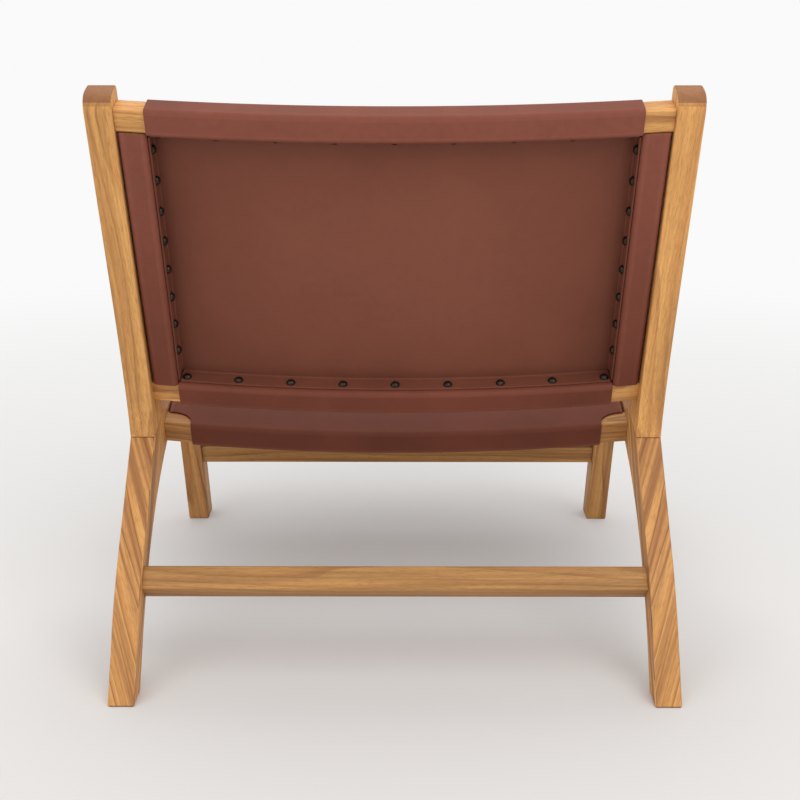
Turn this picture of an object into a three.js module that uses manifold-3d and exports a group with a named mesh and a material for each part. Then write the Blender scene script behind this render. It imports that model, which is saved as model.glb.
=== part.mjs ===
// Leather sling lounge chair: a solid teak frame with a bowed leather back and seat.
// Millimetres, +Z up, the sitter faces -Y, so the sitter's left is +X.
// Side outlines are drawn as (forward, height), forward counted from the rear foot's heel.

import * as THREE from 'three';
import { mergeVertices } from 'three/addons/utils/BufferGeometryUtils.js';
import Module from 'manifold-3d';

const wasm = await Module();
wasm.setup();

// Driving dimensions: whole chair
const chairWidth = 711;
const chairHeight = 744;
const stock = 33;
const edgeRound = 1.6;
const fitGap = 0.3;
const seatSlope = 16.7;

// Rear leg
const legFootDepth = 41;
const legLowerLean = 30;
const legUpperLean = 43;
const legBendHeight = 115;
const legBendReach = 46;
const legLowerRun = 37;
const legSwellLow = 0.4;
const legSwellHigh = 0.32;
const legHeadHeight = 252;
const legHeadReach = 10;

// Back post
const waistRise = 27;
const postDepth = 40;
const postLean = 18.3;
const postFootLean = 7;
const postBendRise = 64;
const postBendRun = 144;
const postFlareRise = 105;
const postFlareRun = 65;
const postTopRearRadius = 22;
const postTopFrontRadius = 7;

// Seat side rail and front leg
const sideRailDepth = 34;
const sideRailLength = 519;
const sideRailNose = 9;
const frontLegDepth = 41;
const frontLegStation = 333;

// Stretchers
const stretcherSize = 32;
const rearStretcherHeight = 122;
const frontStretcherHeight = 132;
const stretcherSetIn = 7.5;

// Back frame
const backLean = 19.3;
const backRailWidth = 28;
const backRailDepth = 30;
const railRound = 3;
const topRailDrop = 16.8;
const topRailSetIn = 3.6;
const backOpening = 355;
const backBow = 25;

// Seat frame
const seatRailWidth = 28;
const seatRailDepth = 32;
const seatRearStation = 95;
const seatFrontSetBack = 8;
const seatBow = 18;

// Stiles and leather
const stileWidth = 28;
const stileSetIn = 5;
const hide = 2.5;
const hideBend = 2.5;
const hookLength = 18;
const flapSetIn = 36.5;
const linerFlange = 25;

// Joinery
const tenonLength = 20;
const tenonShoulder = 6;
const frameTenonThickness = 12;
const footTenonStart = 12;
const footTenonLength = 45;
const frameTenonDepth = 20;
const frameTenonShoulder = 7;

// Nails
const nailHeadDiameter = 12;
const nailHeadHeight = 5;
const nailShank = 2.4;
const nailLength = 16;
const nailRowCount = 9;
const nailRowEnd = 10.9;
const nailSideCount = 8;
const nailSideTop = 19;
const nailSideBottom = 42;
const nailInset = 8;
const nailTopInset = 10;

// Values worked out from the driving dimensions
const degrees = Math.PI / 180;
const outerHalf = chairWidth / 2;
const innerHalf = outerHalf - stock;
const midStock = innerHalf + stock / 2;
const flapHalf = innerHalf - flapSetIn;
const railHalf = innerHalf - fitGap;
const stileOuter = innerHalf - stileSetIn;
const stileInner = stileOuter - stileWidth;

const teak = { color: 0xc08a50, roughness: 0.5, metalness: 0 };
const teakDark = { color: 0xb27c46, roughness: 0.5, metalness: 0 };
const leather = { color: 0x7d4636, roughness: 0.55, metalness: 0 };
const leatherDark = { color: 0x6e3c2e, roughness: 0.6, metalness: 0 };
const bronze = { color: 0x3a332e, roughness: 0.4, metalness: 0.8 };

const chair = new THREE.Group();
chair.name = 'leather_sling_lounge_chair';

function vec(forward, height) {
  return new THREE.Vector2(forward, height);
}

// Unit direction turned from straight up towards the rear (negative lean goes forward)
function leanDirection(lean) {
  return vec(-Math.sin(lean * degrees), Math.cos(lean * degrees));
}

// A point, a direction and a distance give another point
function along(point, direction, distance) {
  return point.clone().addScaledVector(direction, distance);
}

function crossing(pointA, directionA, pointB, directionB) {
  const gap = pointB.clone().sub(pointA);
  const turn = directionA.cross(directionB);
  return along(pointA, directionA, gap.cross(directionB) / turn);
}

function atHeight(point, direction, height) {
  return along(point, direction, (height - point.y) / direction.y);
}

// Side frame layout, as (forward, height)
const seatAlong = vec(Math.cos(seatSlope * degrees), Math.sin(seatSlope * degrees));
const seatUp = vec(-seatAlong.y, seatAlong.x);
const legLowerRise = leanDirection(-legLowerLean);
const legUpperRise = leanDirection(-legUpperLean);
const postRise = leanDirection(postLean);
const postForward = vec(postRise.y, -postRise.x);
const heel = vec(0, 0);
const legBend = atHeight(heel, legLowerRise, legBendHeight);
const headRear = atHeight(legBend, legUpperRise, legHeadHeight);
const waist = atHeight(headRear, legUpperRise, legHeadHeight + waistRise);
const postControl = along(waist, leanDirection(postFootLean), postBendRise);
const postStraight = along(postControl, postRise, postBendRun);
const postFrontTop = atHeight(along(postStraight, postForward, postDepth), postRise, chairHeight);
const postRearTop = along(postFrontTop, postForward, -postDepth);

// Seat layout point: distance along the seat from the leg head's rear, and up from the side rail's top
function seatPoint(station, rise) {
  return along(along(headRear, seatAlong, station), seatUp, rise);
}

// The post's front edge flares down onto the side rail's top; the joint with the leg cuts that curve
const waistOffset = waist.clone().sub(headRear);
const waistStation = waistOffset.dot(seatAlong);
const waistLift = waistOffset.dot(seatUp);
const flareCorner = crossing(postFrontTop, postRise, headRear, seatAlong);
const flareStart = along(flareCorner, postRise, postFlareRise);
const flareEnd = along(flareCorner, seatAlong, postFlareRun);
const headLength = flareEnd.clone().sub(headRear).dot(seatAlong) + legHeadReach;

// The flare's curve cut at a height above the side rail's top: the point, and the control on either side
function flareSplit(lift) {
  const part = 1 - Math.sqrt(lift / (postFlareRise * postRise.dot(seatUp)));
  const above = flareStart.clone().lerp(flareCorner, part);
  const below = flareCorner.clone().lerp(flareEnd, part);
  return { above, below, point: above.clone().lerp(below, part) };
}

// Back frame layout point: distance down from the top rail's top, and forward from the rails' rear faces
const backRise = leanDirection(backLean);
const backForward = vec(backRise.y, -backRise.x);
const backOrigin = along(along(postRearTop, postRise, -topRailDrop), postForward, topRailSetIn);

function backPoint(down, forward) {
  return along(along(backOrigin, backRise, -down), backForward, forward);
}

// A side point at a distance across the chair
function inChair(across, point) {
  return new THREE.Vector3(across, -point.x, point.y);
}

// Bow of a cross piece: nothing at the side frames, most at the middle
function bowAt(across, bow) {
  return bow * (1 - (across / innerHalf) ** 2);
}

// Geometry from triangles on numbered points
function meshOf(points, triangles) {
  const geometry = new THREE.BufferGeometry();
  geometry.setAttribute('position', new THREE.Float32BufferAttribute(points.flatMap((p) => [p.x, p.y, p.z]), 3));
  geometry.setIndex(triangles.flat());
  return geometry;
}

// Closed skin through a row of equal rings; section is the flat outline that closes both ends
function skin(rings, section) {
  const count = section.length;
  const points = rings.flat();
  const triangles = [];
  for (let row = 0; row + 1 < rings.length; row += 1) {
    for (let i = 0; i < count; i += 1) {
      const j = (i + 1) % count;
      const here = row * count;
      const next = here + count;
      triangles.push([here + i, here + j, next + i], [here + j, next + j, next + i]);
    }
  }
  const last = (rings.length - 1) * count;
  const clockwise = THREE.ShapeUtils.isClockWise(section);
  for (const face of THREE.ShapeUtils.triangulateShape(section, [])) {
    const [a, b, c] = clockwise ? face.reverse() : face;
    triangles.push([c, b, a], [last + a, last + b, last + c]);
  }
  return outward(meshOf(points, triangles));
}

// Turns a closed mesh so that its faces point out
function outward(geometry) {
  const index = geometry.index.array;
  const at = geometry.attributes.position;
  const [a, b, c] = [new THREE.Vector3(), new THREE.Vector3(), new THREE.Vector3()];
  let volume = 0;
  for (let i = 0; i < index.length; i += 3) {
    a.fromBufferAttribute(at, index[i]);
    b.fromBufferAttribute(at, index[i + 1]);
    c.fromBufferAttribute(at, index[i + 2]);
    volume += a.dot(b.cross(c));
  }
  if (volume < 0) {
    for (let i = 0; i < index.length; i += 3) {
      [index[i], index[i + 1]] = [index[i + 1], index[i]];
    }
  }
  return geometry;
}

function solidOf(geometry) {
  const bare = geometry.clone();
  bare.deleteAttribute('normal');
  bare.deleteAttribute('uv');
  const merged = mergeVertices(bare, 1e-4);
  const vertProperties = new Float32Array(merged.attributes.position.array);
  const triVerts = new Uint32Array(merged.index.array);
  return new wasm.Manifold(new wasm.Mesh({ numProp: 3, vertProperties, triVerts }));
}

function geometryOf(solid) {
  const mesh = solid.getMesh();
  const geometry = new THREE.BufferGeometry();
  geometry.setAttribute('position', new THREE.BufferAttribute(mesh.vertProperties, 3));
  geometry.setIndex(new THREE.BufferAttribute(mesh.triVerts, 1));
  return geometry;
}

function joined(first, others) {
  return geometryOf(others.reduce((body, other) => body.add(solidOf(other)), solidOf(first)));
}

function cut(body, tools) {
  return geometryOf(tools.reduce((rest, tool) => rest.subtract(solidOf(tool)), solidOf(body)));
}

function place(name, geometry, finish) {
  const flat = geometry.index ? geometry.toNonIndexed() : geometry;
  flat.computeVertexNormals();
  const mesh = new THREE.Mesh(flat, new THREE.MeshStandardMaterial(finish));
  mesh.name = name;
  chair.add(mesh);
}

// Rectangle with round corners, as (across, up) points about its middle
function roundedSection(width, depth, radius) {
  const shape = new THREE.Shape();
  const w = width / 2;
  const d = depth / 2;
  shape.absarc(w - radius, d - radius, radius, 0, Math.PI / 2);
  shape.absarc(radius - w, d - radius, radius, Math.PI / 2, Math.PI);
  shape.absarc(radius - w, radius - d, radius, Math.PI, Math.PI * 1.5);
  shape.absarc(w - radius, radius - d, radius, Math.PI * 1.5, Math.PI * 2);
  return shape.getPoints(3).slice(0, -1);
}

// Block between two distances across the chair, on four corner points of the side outline
function crossBlock(from, to, corners) {
  const rings = [from, to].map((across) => corners.map((corner) => inChair(across, corner)));
  return skin(rings, corners);
}

// Square corners of a rectangle in a layout, grown on every side
function corners(layout, start, end, low, high, grow) {
  return [
    layout(start - grow, low - grow),
    layout(end + grow, low - grow),
    layout(end + grow, high + grow),
    layout(start - grow, high + grow),
  ];
}

// A side frame piece: its outline extruded across the stock, with rounded edges
function sidePiece(shape, side) {
  const geometry = new THREE.ExtrudeGeometry(shape, {
    depth: stock - 2 * edgeRound,
    bevelEnabled: true,
    bevelThickness: edgeRound,
    bevelSize: edgeRound,
    bevelOffset: -edgeRound,
    bevelSegments: 2,
    curveSegments: 8,
  });
  const turn = new THREE.Matrix4().set(0, 0, 1, 0, 1, 0, 0, 0, 0, 1, 0, 0, 0, 0, 0, 1);
  geometry.applyMatrix4(turn);
  geometry.translate(side * midStock - (stock - 2 * edgeRound) / 2, 0, 0);
  return geometry;
}

// Outline pen: moves in (forward, height) and rounds a corner between two straight edges
class Outline extends THREE.Shape {
  start(point) {
    return this.moveTo(-point.x, point.y);
  }

  line(point) {
    return this.lineTo(-point.x, point.y);
  }

  bend(control, point) {
    return this.quadraticCurveTo(-control.x, control.y, -point.x, point.y);
  }

  sweep(first, second, point) {
    return this.bezierCurveTo(-first.x, first.y, -second.x, second.y, -point.x, point.y);
  }

  roundCorner(before, corner, after, radius) {
    const back = before.clone().sub(corner).normalize();
    const ahead = after.clone().sub(corner).normalize();
    this.line(along(corner, back, radius));
    return this.bend(corner, along(corner, ahead, radius));
  }
}

// Tenon across the chair at one end of a cross rail, and the mortise that takes it
function crossTenon(side, box, grow) {
  const root = side * (railHalf - tenonShoulder);
  const tip = side * (innerHalf + tenonLength + grow);
  return crossBlock(root, tip, corners(box.layout, box.start, box.end, box.low, box.high, grow));
}

// Tenon inside a side frame, in the seat's layout
function frameTenon(side, start, end, low, high, grow) {
  const half = frameTenonThickness / 2 + grow;
  const middle = side * midStock;
  return crossBlock(middle - half, middle + half, corners(seatPoint, start, end, low, high, grow));
}

// Tenon boxes of the cross rails, each in its own layout
const seatEnd = sideRailLength - seatFrontSetBack;
const bottomRailTop = backRailWidth + backOpening;
const stretcherHalf = stretcherSize / 2;
const legUpperForward = vec(legUpperRise.y, -legUpperRise.x);
const rearStretcherLine = along(legBend, legUpperForward, stretcherSetIn + stretcherHalf);
const rearStretcherMiddle = atHeight(rearStretcherLine, legUpperRise, rearStretcherHeight);
const frontLegMiddle = seatPoint(frontLegStation + frontLegDepth / 2, 0);
const frontStretcherMiddle = atHeight(frontLegMiddle, seatUp, frontStretcherHeight);

function rearStretcherPoint(rise, forward) {
  return along(along(rearStretcherMiddle, legUpperRise, rise), legUpperForward, forward);
}

function frontStretcherPoint(forward, rise) {
  return along(along(frontStretcherMiddle, seatAlong, forward), seatUp, rise);
}

function tenonBox(layout, start, end, low, high) {
  return {
    layout,
    start: start + tenonShoulder,
    end: end - tenonShoulder,
    low: low + tenonShoulder,
    high: high - tenonShoulder,
  };
}

const tenons = {
  topRail: tenonBox(backPoint, 0, backRailWidth, 0, backRailDepth),
  bottomRail: tenonBox(backPoint, bottomRailTop, bottomRailTop + backRailWidth, 0, backRailDepth),
  rearSeat: tenonBox(seatPoint, seatRearStation, seatRearStation + seatRailWidth, -seatRailDepth, 0),
  frontSeat: tenonBox(seatPoint, seatEnd - seatRailWidth, seatEnd, -seatRailDepth, 0),
  rearStretcher: tenonBox(rearStretcherPoint, -stretcherHalf, stretcherHalf, -stretcherHalf, stretcherHalf),
  frontStretcher: tenonBox(frontStretcherPoint, -stretcherHalf, stretcherHalf, -stretcherHalf, stretcherHalf),
};

function mortises(side, names) {
  return names.map((name) => crossTenon(side, tenons[name], fitGap));
}

// Rear leg: a curved leg whose head carries the post and the seat's side rail
function legOutline() {
  const bendStart = along(legBend, legLowerRise, -legBendReach);
  const bendEnd = along(legBend, legUpperRise, legBendReach);
  const flare = flareSplit(waistLift);
  const headEnd = seatPoint(headLength, 0);
  const headLow = seatPoint(headLength, -sideRailDepth);
  const footFront = vec(legFootDepth, 0);
  const swellStart = along(footFront, legLowerRise, legLowerRun);
  const swell = headLow.distanceTo(swellStart);
  const outline = new Outline();
  outline.start(heel);
  outline.line(bendStart);
  outline.bend(legBend, bendEnd);
  outline.line(waist);
  outline.line(flare.point);
  outline.bend(flare.below, flareEnd);
  outline.line(headEnd);
  outline.line(headLow);
  outline.sweep(
    along(headLow, seatAlong, -swell * legSwellHigh),
    along(swellStart, legLowerRise, swell * legSwellLow),
    swellStart,
  );
  outline.line(footFront);
  outline.closePath();
  return outline;
}

// Back post: stands on the leg's head at the waist, its front edge flared
function postOutline() {
  const footRear = along(waist, seatUp, fitGap);
  const heelPoint = crossing(footRear, seatAlong, waist, leanDirection(postFootLean));
  const flare = flareSplit(waistLift + fitGap);
  const outline = new Outline();
  outline.start(heelPoint);
  outline.bend(postControl, postStraight);
  outline.roundCorner(postStraight, postRearTop, postFrontTop, postTopRearRadius);
  outline.roundCorner(postRearTop, postFrontTop, flareStart, postTopFrontRadius);
  outline.line(flareStart);
  outline.bend(flare.above, flare.point);
  outline.closePath();
  return outline;
}

// Seat side rail: from the leg's head to the seat's front
function sideRailOutline() {
  const rearTop = seatPoint(headLength + fitGap, 0);
  const frontTop = seatPoint(sideRailLength, 0);
  const frontLow = seatPoint(sideRailLength, -sideRailDepth);
  const rearLow = seatPoint(headLength + fitGap, -sideRailDepth);
  const outline = new Outline();
  outline.start(rearTop);
  outline.roundCorner(rearTop, frontTop, frontLow, sideRailNose);
  outline.roundCorner(frontTop, frontLow, rearLow, sideRailNose);
  outline.line(rearLow);
  outline.closePath();
  return outline;
}

// Front leg: square to the seat, its foot cut level
function frontLegOutline() {
  const topRear = seatPoint(frontLegStation, -sideRailDepth - fitGap);
  const topFront = seatPoint(frontLegStation + frontLegDepth, -sideRailDepth - fitGap);
  const outline = new Outline();
  outline.start(topRear);
  outline.line(topFront);
  outline.line(atHeight(topFront, seatUp, 0));
  outline.line(atHeight(topRear, seatUp, 0));
  outline.closePath();
  return outline;
}

function buildSideFrame(side, word) {
  const footTenon = [
    side,
    waistStation + footTenonStart,
    waistStation + footTenonStart + footTenonLength,
    waistLift - frameTenonDepth,
    waistLift + frameTenonShoulder,
  ];
  const railTenon = [
    side,
    headLength - frameTenonDepth,
    headLength + frameTenonShoulder,
    frameTenonShoulder - sideRailDepth,
    -frameTenonShoulder,
  ];
  const legTenon = [
    side,
    frontLegStation + frameTenonShoulder,
    frontLegStation + frontLegDepth - frameTenonShoulder,
    -sideRailDepth - frameTenonShoulder,
    frameTenonDepth - sideRailDepth - frameTenonShoulder,
  ];
  const leg = cut(sidePiece(legOutline(), side), [
    ...mortises(side, ['rearStretcher', 'rearSeat']),
    frameTenon(...footTenon, fitGap),
    frameTenon(...railTenon, fitGap),
  ]);
  const post = joined(sidePiece(postOutline(), side), [frameTenon(...footTenon, 0)]);
  const rail = joined(sidePiece(sideRailOutline(), side), [frameTenon(...railTenon, 0)]);
  const frontLeg = joined(sidePiece(frontLegOutline(), side), [frameTenon(...legTenon, 0)]);
  const railCuts = [...mortises(side, ['frontSeat']), frameTenon(...legTenon, fitGap)];
  place(`${word}_rear_leg`, leg, teak);
  place(`${word}_back_post`, cut(post, mortises(side, ['topRail', 'bottomRail'])), teak);
  place(`${word}_seat_side_rail`, cut(rail, railCuts), teak);
  place(`${word}_front_leg`, cut(frontLeg, mortises(side, ['frontStretcher'])), teak);
}

// Cross rail: a rounded section swept across the chair on its bow, with a tenon at each end
function crossRail(layout, middleStart, middleUp, width, depth, bow, bowSign, box, steps) {
  const section = roundedSection(width, depth, railRound);
  const rings = [];
  for (let step = 0; step <= steps; step += 1) {
    const across = railHalf * (2 * step / steps - 1);
    const shift = bowSign * bowAt(across, bow);
    rings.push(section.map((p) => inChair(across, layout(middleStart + p.x, middleUp + p.y + shift))));
  }
  return joined(skin(rings, section), [crossTenon(1, box, 0), crossTenon(-1, box, 0)]);
}

const bowSteps = 12;
const backMiddle = backRailDepth / 2;
const seatMiddle = -seatRailDepth / 2;

function buildCrossRails() {
  const topRail = crossRail(backPoint, backRailWidth / 2, backMiddle, backRailWidth, backRailDepth,
    backBow, -1, tenons.topRail, bowSteps);
  const bottomMiddle = bottomRailTop + backRailWidth / 2;
  const bottomRail = crossRail(backPoint, bottomMiddle, backMiddle, backRailWidth, backRailDepth,
    backBow, -1, tenons.bottomRail, bowSteps);
  const rearMiddle = seatRearStation + seatRailWidth / 2;
  const rearSeat = crossRail(seatPoint, rearMiddle, seatMiddle, seatRailWidth, seatRailDepth,
    seatBow, -1, tenons.rearSeat, bowSteps);
  const frontMiddle = seatEnd - seatRailWidth / 2;
  const frontSeat = crossRail(seatPoint, frontMiddle, seatMiddle, seatRailWidth, seatRailDepth,
    seatBow, -1, tenons.frontSeat, bowSteps);
  const rearStretcher = crossRail(rearStretcherPoint, 0, 0, stretcherSize, stretcherSize,
    0, 1, tenons.rearStretcher, 1);
  const frontStretcher = crossRail(frontStretcherPoint, 0, 0, stretcherSize, stretcherSize,
    0, 1, tenons.frontStretcher, 1);
  place('rear_stretcher', rearStretcher, teak);
  place('front_stretcher', frontStretcher, teak);
  place('front_seat_rail', frontSeat, teakDark);
  place('rear_seat_rail', rearSeat, teakDark);
  return { topRail, bottomRail };
}

// A stretched hide's frame: where the first rail starts, how far the hide spans, which way is out
const backPanel = {
  layout: (span, rise) => backPoint(span, backRailDepth + rise),
  length: 2 * backRailWidth + backOpening,
  railSpan: backRailWidth,
  railRise: backRailDepth,
  bow: backBow,
};
const seatPanel = {
  layout: (span, rise) => seatPoint(seatRearStation + span, rise),
  length: seatEnd - seatRearStation,
  railSpan: seatRailWidth,
  railRise: seatRailDepth,
  bow: seatBow,
};

// Hide outline round square corners: inner face against the wood, outer face one hide away
function hideOutline(route, thickness) {
  const inner = [];
  const outer = [];
  const last = route.length - 1;
  const steps = 2;
  const direction = (i) => route[i + 1].clone().sub(route[i]).normalize();
  const outwardOf = (d) => vec(-d.y, d.x);
  inner.push(route[0]);
  outer.push(along(route[0], outwardOf(direction(0)), thickness));
  for (let i = 1; i < last; i += 1) {
    const arriving = direction(i - 1);
    const leaving = direction(i);
    const centre = along(along(route[i], arriving, -hideBend), leaving, hideBend);
    for (let step = 0; step <= steps; step += 1) {
      const turn = (step / steps) * Math.PI / 2;
      const ray = outwardOf(arriving).multiplyScalar(Math.cos(turn));
      ray.addScaledVector(outwardOf(leaving), Math.sin(turn));
      inner.push(along(centre, ray, hideBend));
      outer.push(along(centre, ray, hideBend + thickness));
    }
  }
  inner.push(route[last]);
  outer.push(along(route[last], outwardOf(direction(last - 1)), thickness));
  return [...outer, ...inner.reverse()];
}

// The hide's middle: panel, turned round both rails and hooked onto their inner faces
function hideMiddle(panel) {
  const far = panel.length;
  const nearIn = panel.railSpan + fitGap;
  const farIn = far - panel.railSpan - fitGap;
  const under = -panel.railRise - fitGap;
  const route = [
    vec(nearIn, under + hookLength),
    vec(nearIn, under),
    vec(-fitGap, under),
    vec(-fitGap, fitGap),
    vec(far + fitGap, fitGap),
    vec(far + fitGap, under),
    vec(farIn, under),
    vec(farIn, under + hookLength),
  ];
  const section = hideOutline(route, hide);
  const rings = [];
  for (let step = 0; step <= bowSteps; step += 1) {
    const across = flapHalf * (2 * step / bowSteps - 1);
    const shift = -bowAt(across, panel.bow);
    rings.push(section.map((p) => inChair(across, panel.layout(p.x, p.y + shift))));
  }
  return skin(rings, section);
}

// The hide's side wing: carries on from the panel, turned round a stile and hooked inside it
const wingThin = 0.1;
const wingLap = 6;

function hideWing(panel, side) {
  const under = -panel.railRise - fitGap;
  const inside = stileInner - fitGap;
  const outside = stileOuter + fitGap;
  const route = [
    vec(flapHalf - wingLap, fitGap + wingThin),
    vec(outside, fitGap + wingThin),
    vec(outside, under),
    vec(inside, under),
    vec(inside, under + hookLength),
  ];
  const section = hideOutline(route, hide - 2 * wingThin);
  const ends = [panel.railSpan + fitGap, panel.length - panel.railSpan - fitGap];
  const rings = ends.map((span) => section.map((p) => {
    const shift = -bowAt(p.x, panel.bow);
    return inChair(side * p.x, panel.layout(span, p.y + shift));
  }));
  return skin(rings, section);
}

function stile(panel, side) {
  const section = roundedSection(stileWidth, panel.railRise, railRound);
  const middle = (stileInner + stileOuter) / 2;
  const ends = [panel.railSpan + fitGap, panel.length - panel.railSpan - fitGap];
  const rings = ends.map((span) => section.map((p) => {
    const across = middle + p.x;
    const shift = -bowAt(across, panel.bow);
    return inChair(side * across, panel.layout(span, p.y - panel.railRise / 2 + shift));
  }));
  return skin(rings, section);
}

// Back liner: a tray behind the panel, its flanges lying on the hooked ends of the hide
const linerLap = 0.5;
const linerEdge = backRailWidth + 2 * fitGap + hide;
const linerHalf = stileInner - 2 * fitGap - hide;

function linerTray() {
  const top = linerEdge;
  const bottom = backPanel.length - linerEdge;
  const face = 0;
  const rear = face - linerFlange;
  const section = [
    vec(top, rear),
    vec(top, face),
    vec(bottom, face),
    vec(bottom, rear),
    vec(bottom - hide, rear),
    vec(bottom - hide, face - hide),
    vec(top + hide, face - hide),
    vec(top + hide, rear),
  ];
  const rings = [];
  for (let step = 0; step <= bowSteps; step += 1) {
    const across = linerHalf * (2 * step / bowSteps - 1);
    const shift = -bowAt(across, backBow);
    rings.push(section.map((p) => inChair(across, backPanel.layout(p.x, p.y + shift))));
  }
  const sides = [1, -1].map((side) => linerSide(side, top + linerLap, bottom - linerLap, rear));
  return joined(skin(rings, section), sides);
}

function linerSide(side, top, bottom, rear) {
  const section = [
    vec(linerHalf - hide, rear + wingThin),
    vec(linerHalf - wingThin, rear + wingThin),
    vec(linerHalf - wingThin, -linerLap),
    vec(linerHalf - hide, -linerLap),
  ];
  const rings = [top, bottom].map((span) => section.map((p) => {
    const shift = -bowAt(p.x, backBow);
    return inChair(side * p.x, backPanel.layout(span, p.y + shift));
  }));
  return skin(rings, section);
}

// Nails: where each head sits on the liner's flange, and which way its shank goes
const nailFace = linerEdge + hide + fitGap;

function rowNails(word, span, spanSign, inset) {
  const list = [];
  for (let i = 0; i < nailRowCount; i += 1) {
    const across = (linerHalf - nailRowEnd) * (2 * i / (nailRowCount - 1) - 1);
    const rise = inset - linerFlange - bowAt(across, backBow);
    const seat = inChair(across, backPanel.layout(span, rise));
    const inner = inChair(across, backPanel.layout(span + spanSign, rise));
    list.push({ name: `${word}_nail_${i + 1}`, seat, inward: inner.sub(seat).normalize() });
  }
  return list;
}

function sideNails(word, side) {
  const list = [];
  const across = linerHalf - hide - fitGap;
  const rise = nailInset - linerFlange - bowAt(linerHalf, backBow);
  const first = nailFace + nailSideTop;
  const last = backPanel.length - nailFace - nailSideBottom;
  for (let i = 0; i < nailSideCount; i += 1) {
    const span = first + (last - first) * i / (nailSideCount - 1);
    const seat = inChair(side * across, backPanel.layout(span, rise));
    list.push({ name: `${word}_nail_${i + 1}`, seat, inward: new THREE.Vector3(side, 0, 0) });
  }
  return list;
}

const nails = {
  top: rowNails('top', nailFace, -1, nailTopInset),
  bottom: rowNails('bottom', backPanel.length - nailFace, 1, nailInset),
  left: sideNails('left_side', 1),
  right: sideNails('right_side', -1),
};

function nailGeometry() {
  const r = nailHeadDiameter / 2;
  const h = nailHeadHeight;
  const profile = [
    vec(0, -nailLength),
    vec(nailShank / 2, nailShank - nailLength),
    vec(nailShank / 2, 0),
    vec(r, 0),
    vec(r * 0.9, h * 0.45),
    vec(r * 0.55, h * 0.85),
    vec(0, h),
  ];
  return new THREE.LatheGeometry(profile, 8);
}

// A nail's own +Y points out of the flange
function setNail(geometry, nail) {
  const out = nail.inward.clone().negate();
  const turn = new THREE.Quaternion().setFromUnitVectors(new THREE.Vector3(0, 1, 0), out);
  return geometry.applyQuaternion(turn).translate(nail.seat.x, nail.seat.y, nail.seat.z);
}

function nailHole(nail) {
  const width = nailShank + 2 * fitGap;
  const depth = nailLength + nailHeadHeight;
  const hole = new THREE.BoxGeometry(width, depth, width);
  hole.translate(0, -nailLength - fitGap + depth / 2, 0);
  return setNail(hole, nail);
}

function holes(...rows) {
  return rows.flat().map(nailHole);
}

function buildBackAndSeat(rails) {
  const every = holes(nails.top, nails.bottom, nails.left, nails.right);
  const backHide = joined(hideMiddle(backPanel), [hideWing(backPanel, 1), hideWing(backPanel, -1)]);
  const seatHide = joined(hideMiddle(seatPanel), [hideWing(seatPanel, 1), hideWing(seatPanel, -1)]);
  place('top_back_rail', cut(rails.topRail, holes(nails.top)), teakDark);
  place('bottom_back_rail', cut(rails.bottomRail, holes(nails.bottom)), teakDark);
  place('left_back_stile', cut(stile(backPanel, 1), holes(nails.left)), teakDark);
  place('right_back_stile', cut(stile(backPanel, -1), holes(nails.right)), teakDark);
  place('left_seat_stile', stile(seatPanel, 1), teakDark);
  place('right_seat_stile', stile(seatPanel, -1), teakDark);
  place('back_sling', cut(backHide, every), leather);
  place('back_liner', cut(linerTray(), every), leatherDark);
  place('seat_sling', seatHide, leather);
  for (const nail of Object.values(nails).flat()) {
    place(nail.name, setNail(nailGeometry(), nail), bronze);
  }
}

buildSideFrame(1, 'left');
buildSideFrame(-1, 'right');
buildBackAndSeat(buildCrossRails());

// The origin is on the floor, under the middle of the chair's box
const box = new THREE.Box3().setFromObject(chair);
const middle = box.getCenter(new THREE.Vector3());
chair.position.set(-middle.x, -middle.y, -box.min.z);

export default chair;
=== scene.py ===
from functools import partial
import math

import bmesh
import bpy
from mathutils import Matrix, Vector, noise


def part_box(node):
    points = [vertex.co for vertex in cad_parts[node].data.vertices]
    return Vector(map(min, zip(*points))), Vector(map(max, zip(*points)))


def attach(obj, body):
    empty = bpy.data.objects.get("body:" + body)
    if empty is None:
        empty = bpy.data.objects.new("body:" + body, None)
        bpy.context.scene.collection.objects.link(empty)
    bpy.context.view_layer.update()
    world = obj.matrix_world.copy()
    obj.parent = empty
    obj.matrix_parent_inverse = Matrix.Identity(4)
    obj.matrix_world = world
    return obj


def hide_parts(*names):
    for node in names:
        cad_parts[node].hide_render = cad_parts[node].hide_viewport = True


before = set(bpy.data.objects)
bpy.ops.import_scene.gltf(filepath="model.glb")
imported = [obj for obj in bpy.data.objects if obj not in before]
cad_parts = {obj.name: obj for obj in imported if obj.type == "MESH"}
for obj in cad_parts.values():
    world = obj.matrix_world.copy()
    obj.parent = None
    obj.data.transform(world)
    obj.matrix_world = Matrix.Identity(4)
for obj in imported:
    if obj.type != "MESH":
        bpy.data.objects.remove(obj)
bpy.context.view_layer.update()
print("frame loaded:", len(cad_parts), "nodes")

# camera at the photograph's place: behind the chair, looking down a little
photoCamera = {
    "lens": 56.25,       # mm
    "sensor": 36,
    "pitch": 16.74,      # degrees down
    "yaw": 0.2,
    "behindHeel": 1.3703,
    "height": 0.810,
    "aside": -0.0115,
}


def makeCamera(settings):
    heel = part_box("left_rear_leg")[1].y
    data = bpy.data.cameras.new("photoCamera")
    data.lens = settings["lens"]
    data.sensor_width = settings["sensor"]
    camera = bpy.data.objects.new("photoCamera", data)
    camera.location = (settings["aside"], heel + settings["behindHeel"], settings["height"])
    tilt = math.radians(90 - settings["pitch"])
    camera.rotation_euler = (tilt, 0, math.radians(180 + settings["yaw"]))
    bpy.context.scene.collection.objects.link(camera)
    bpy.context.scene.camera = camera


makeCamera(photoCamera)
print("camera set")


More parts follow.
